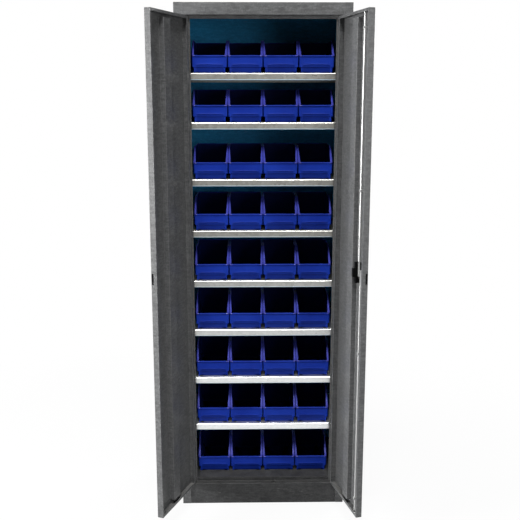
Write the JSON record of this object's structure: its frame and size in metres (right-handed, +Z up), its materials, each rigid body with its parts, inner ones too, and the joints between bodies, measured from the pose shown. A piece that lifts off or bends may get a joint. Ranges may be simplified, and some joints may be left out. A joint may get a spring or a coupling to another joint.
{
  "type": "workshop cabinet",
  "caption": "Tall two-door sheet-steel workshop cabinet with galvanised shelves, pull-out open-front plastic bins and a rod lock turned by an outside lever.",
  "frame": {"origin": "middle of the carcass footprint on the floor", "axes": "+Z up, the doors and bins face -Y, +X is to the right seen from the front"},
  "size_m": [0.7774, 0.7146, 2],
  "materials": {
    "grey_paint": "dark grey hammered enamel, semi-gloss",
    "hinge_steel": "dark grey enamel over steel barrels",
    "galvanised_steel": "bright galvanised sheet with a faint spangle",
    "zinc_plate": "bright zinc plate",
    "black_plastic": "fine-grained black moulding",
    "bin_blue": "deep blue polypropylene, satin"
  },
  "bodies": {
    "carcass": {"left_side_panel": "grey_paint", "right_side_panel": "grey_paint", "back_panel": "grey_paint", "roof_panel": "grey_paint", "floor_panel": "grey_paint", "plinth": "grey_paint", "shelf_uprights": "galvanised_steel", "shelf_clips": "galvanised_steel", "shelves": "galvanised_steel", "frame_hinges": "hinge_steel"},
    "left_door": {"left_door": "grey_paint", "left_door_stiffener": "grey_paint", "left_door_hinges": "hinge_steel"},
    "right_door": {"right_door": "grey_paint", "right_door_stiffener": "grey_paint", "right_door_hinges": "hinge_steel", "lock_case": "black_plastic", "rod_guides": "zinc_plate"},
    "lock_handle": {"lock_handle": "black_plastic", "lock_cam": "zinc_plate"},
    "upper_rod": {"upper_rod": "zinc_plate"},
    "lower_rod": {"lower_rod": "zinc_plate"},
    "centre_bolt": {"centre_bolt": "black_plastic"},
    "bin_row1_1": {"bin_row1_1": "bin_blue"},
    "bin_row1_2": {"bin_row1_2": "bin_blue"},
    "bin_row1_3": {"bin_row1_3": "bin_blue"},
    "bin_row1_4": {"bin_row1_4": "bin_blue"},
    "bin_row2_1": {"bin_row2_1": "bin_blue"},
    "bin_row2_2": {"bin_row2_2": "bin_blue"},
    "bin_row2_3": {"bin_row2_3": "bin_blue"},
    "bin_row2_4": {"bin_row2_4": "bin_blue"},
    "bin_row3_1": {"bin_row3_1": "bin_blue"},
    "bin_row3_2": {"bin_row3_2": "bin_blue"},
    "bin_row3_3": {"bin_row3_3": "bin_blue"},
    "bin_row3_4": {"bin_row3_4": "bin_blue"},
    "bin_row4_1": {"bin_row4_1": "bin_blue"},
    "bin_row4_2": {"bin_row4_2": "bin_blue"},
    "bin_row4_3": {"bin_row4_3": "bin_blue"},
    "bin_row4_4": {"bin_row4_4": "bin_blue"},
    "bin_row5_1": {"bin_row5_1": "bin_blue"},
    "bin_row5_2": {"bin_row5_2": "bin_blue"},
    "bin_row5_3": {"bin_row5_3": "bin_blue"},
    "bin_row5_4": {"bin_row5_4": "bin_blue"},
    "bin_row6_1": {"bin_row6_1": "bin_blue"},
    "bin_row6_2": {"bin_row6_2": "bin_blue"},
    "bin_row6_3": {"bin_row6_3": "bin_blue"},
    "bin_row6_4": {"bin_row6_4": "bin_blue"},
    "bin_row7_1": {"bin_row7_1": "bin_blue"},
    "bin_row7_2": {"bin_row7_2": "bin_blue"},
    "bin_row7_3": {"bin_row7_3": "bin_blue"},
    "bin_row7_4": {"bin_row7_4": "bin_blue"},
    "bin_row8_1": {"bin_row8_1": "bin_blue"},
    "bin_row8_2": {"bin_row8_2": "bin_blue"},
    "bin_row8_3": {"bin_row8_3": "bin_blue"},
    "bin_row8_4": {"bin_row8_4": "bin_blue"},
    "bin_row9_1": {"bin_row9_1": "bin_blue"},
    "bin_row9_2": {"bin_row9_2": "bin_blue"},
    "bin_row9_3": {"bin_row9_3": "bin_blue"},
    "bin_row9_4": {"bin_row9_4": "bin_blue"}
  },
  "joints": [
    {"name": "left_door_swing", "type": "hinge", "parent": "carcass", "child": "left_door", "pos_m": [-0.299, -0.21, 1], "axis": [0, 0, -1], "range_deg": [-111, 54]},
    {"name": "right_door_swing", "type": "hinge", "parent": "carcass", "child": "right_door", "pos_m": [0.299, -0.21, 1], "axis": [0, 0, 1], "range_deg": [-103.4, 61.6]},
    {"name": "handle_turn", "type": "hinge", "parent": "right_door", "child": "lock_handle", "pos_m": [0.35636, -0.45076, 1.03], "axis": [-0.9728, -0.2317, 0], "range_deg": [-90, 0]},
    {"name": "upper_rod_slide", "type": "slide", "parent": "right_door", "child": "upper_rod", "axis": [0, 0, -1], "range_m": [-0.01416, 0.00002]},
    {"name": "lower_rod_slide", "type": "slide", "parent": "right_door", "child": "lower_rod", "axis": [0, 0, 1], "range_m": [-0.01416, 0.00002]},
    {"name": "centre_bolt_slide", "type": "slide", "parent": "right_door", "child": "centre_bolt", "axis": [-0.2317, 0.9728, 0], "range_m": [-0.01699, 0.00002]},
    {"name": "bin_row1_1_pull", "type": "slide", "parent": "carcass", "child": "bin_row1_1", "axis": [0, -1, 0], "range_m": [0, 0.25]},
    {"name": "bin_row1_2_pull", "type": "slide", "parent": "carcass", "child": "bin_row1_2", "axis": [0, -1, 0], "range_m": [0, 0.25]},
    {"name": "bin_row1_3_pull", "type": "slide", "parent": "carcass", "child": "bin_row1_3", "axis": [0, -1, 0], "range_m": [0, 0.25]},
    {"name": "bin_row1_4_pull", "type": "slide", "parent": "carcass", "child": "bin_row1_4", "axis": [0, -1, 0], "range_m": [0, 0.25]},
    {"name": "bin_row2_1_pull", "type": "slide", "parent": "carcass", "child": "bin_row2_1", "axis": [0, -1, 0], "range_m": [0, 0.25]},
    {"name": "bin_row2_2_pull", "type": "slide", "parent": "carcass", "child": "bin_row2_2", "axis": [0, -1, 0], "range_m": [0, 0.25]},
    {"name": "bin_row2_3_pull", "type": "slide", "parent": "carcass", "child": "bin_row2_3", "axis": [0, -1, 0], "range_m": [0, 0.25]},
    {"name": "bin_row2_4_pull", "type": "slide", "parent": "carcass", "child": "bin_row2_4", "axis": [0, -1, 0], "range_m": [0, 0.25]},
    {"name": "bin_row3_1_pull", "type": "slide", "parent": "carcass", "child": "bin_row3_1", "axis": [0, -1, 0], "range_m": [0, 0.25]},
    {"name": "bin_row3_2_pull", "type": "slide", "parent": "carcass", "child": "bin_row3_2", "axis": [0, -1, 0], "range_m": [0, 0.25]},
    {"name": "bin_row3_3_pull", "type": "slide", "parent": "carcass", "child": "bin_row3_3", "axis": [0, -1, 0], "range_m": [0, 0.25]},
    {"name": "bin_row3_4_pull", "type": "slide", "parent": "carcass", "child": "bin_row3_4", "axis": [0, -1, 0], "range_m": [0, 0.25]},
    {"name": "bin_row4_1_pull", "type": "slide", "parent": "carcass", "child": "bin_row4_1", "axis": [0, -1, 0], "range_m": [0, 0.25]},
    {"name": "bin_row4_2_pull", "type": "slide", "parent": "carcass", "child": "bin_row4_2", "axis": [0, -1, 0], "range_m": [0, 0.25]},
    {"name": "bin_row4_3_pull", "type": "slide", "parent": "carcass", "child": "bin_row4_3", "axis": [0, -1, 0], "range_m": [0, 0.25]},
    {"name": "bin_row4_4_pull", "type": "slide", "parent": "carcass", "child": "bin_row4_4", "axis": [0, -1, 0], "range_m": [0, 0.25]},
    {"name": "bin_row5_1_pull", "type": "slide", "parent": "carcass", "child": "bin_row5_1", "axis": [0, -1, 0], "range_m": [0, 0.25]},
    {"name": "bin_row5_2_pull", "type": "slide", "parent": "carcass", "child": "bin_row5_2", "axis": [0, -1, 0], "range_m": [0, 0.25]},
    {"name": "bin_row5_3_pull", "type": "slide", "parent": "carcass", "child": "bin_row5_3", "axis": [0, -1, 0], "range_m": [0, 0.25]},
    {"name": "bin_row5_4_pull", "type": "slide", "parent": "carcass", "child": "bin_row5_4", "axis": [0, -1, 0], "range_m": [0, 0.25]},
    {"name": "bin_row6_1_pull", "type": "slide", "parent": "carcass", "child": "bin_row6_1", "axis": [0, -1, 0], "range_m": [0, 0.25]},
    {"name": "bin_row6_2_pull", "type": "slide", "parent": "carcass", "child": "bin_row6_2", "axis": [0, -1, 0], "range_m": [0, 0.25]},
    {"name": "bin_row6_3_pull", "type": "slide", "parent": "carcass", "child": "bin_row6_3", "axis": [0, -1, 0], "range_m": [0, 0.25]},
    {"name": "bin_row6_4_pull", "type": "slide", "parent": "carcass", "child": "bin_row6_4", "axis": [0, -1, 0], "range_m": [0, 0.25]},
    {"name": "bin_row7_1_pull", "type": "slide", "parent": "carcass", "child": "bin_row7_1", "axis": [0, -1, 0], "range_m": [0, 0.25]},
    {"name": "bin_row7_2_pull", "type": "slide", "parent": "carcass", "child": "bin_row7_2", "axis": [0, -1, 0], "range_m": [0, 0.25]},
    {"name": "bin_row7_3_pull", "type": "slide", "parent": "carcass", "child": "bin_row7_3", "axis": [0, -1, 0], "range_m": [0, 0.25]},
    {"name": "bin_row7_4_pull", "type": "slide", "parent": "carcass", "child": "bin_row7_4", "axis": [0, -1, 0], "range_m": [0, 0.25]},
    {"name": "bin_row8_1_pull", "type": "slide", "parent": "carcass", "child": "bin_row8_1", "axis": [0, -1, 0], "range_m": [0, 0.25]},
    {"name": "bin_row8_2_pull", "type": "slide", "parent": "carcass", "child": "bin_row8_2", "axis": [0, -1, 0], "range_m": [0, 0.25]},
    {"name": "bin_row8_3_pull", "type": "slide", "parent": "carcass", "child": "bin_row8_3", "axis": [0, -1, 0], "range_m": [0, 0.25]},
    {"name": "bin_row8_4_pull", "type": "slide", "parent": "carcass", "child": "bin_row8_4", "axis": [0, -1, 0], "range_m": [0, 0.25]},
    {"name": "bin_row9_1_pull", "type": "slide", "parent": "carcass", "child": "bin_row9_1", "axis": [0, -1, 0], "range_m": [0, 0.25]},
    {"name": "bin_row9_2_pull", "type": "slide", "parent": "carcass", "child": "bin_row9_2", "axis": [0, -1, 0], "range_m": [0, 0.25]},
    {"name": "bin_row9_3_pull", "type": "slide", "parent": "carcass", "child": "bin_row9_3", "axis": [0, -1, 0], "range_m": [0, 0.25]},
    {"name": "bin_row9_4_pull", "type": "slide", "parent": "carcass", "child": "bin_row9_4", "axis": [0, -1, 0], "range_m": [0, 0.25]}
  ],
  "couplings": [
    {"joint": "upper_rod_slide", "follows": "handle_turn", "m_per_rad": 0.0090032},
    {"joint": "lower_rod_slide", "follows": "handle_turn", "m_per_rad": 0.0090032},
    {"joint": "centre_bolt_slide", "follows": "handle_turn", "m_per_rad": 0.010804}
  ]
}
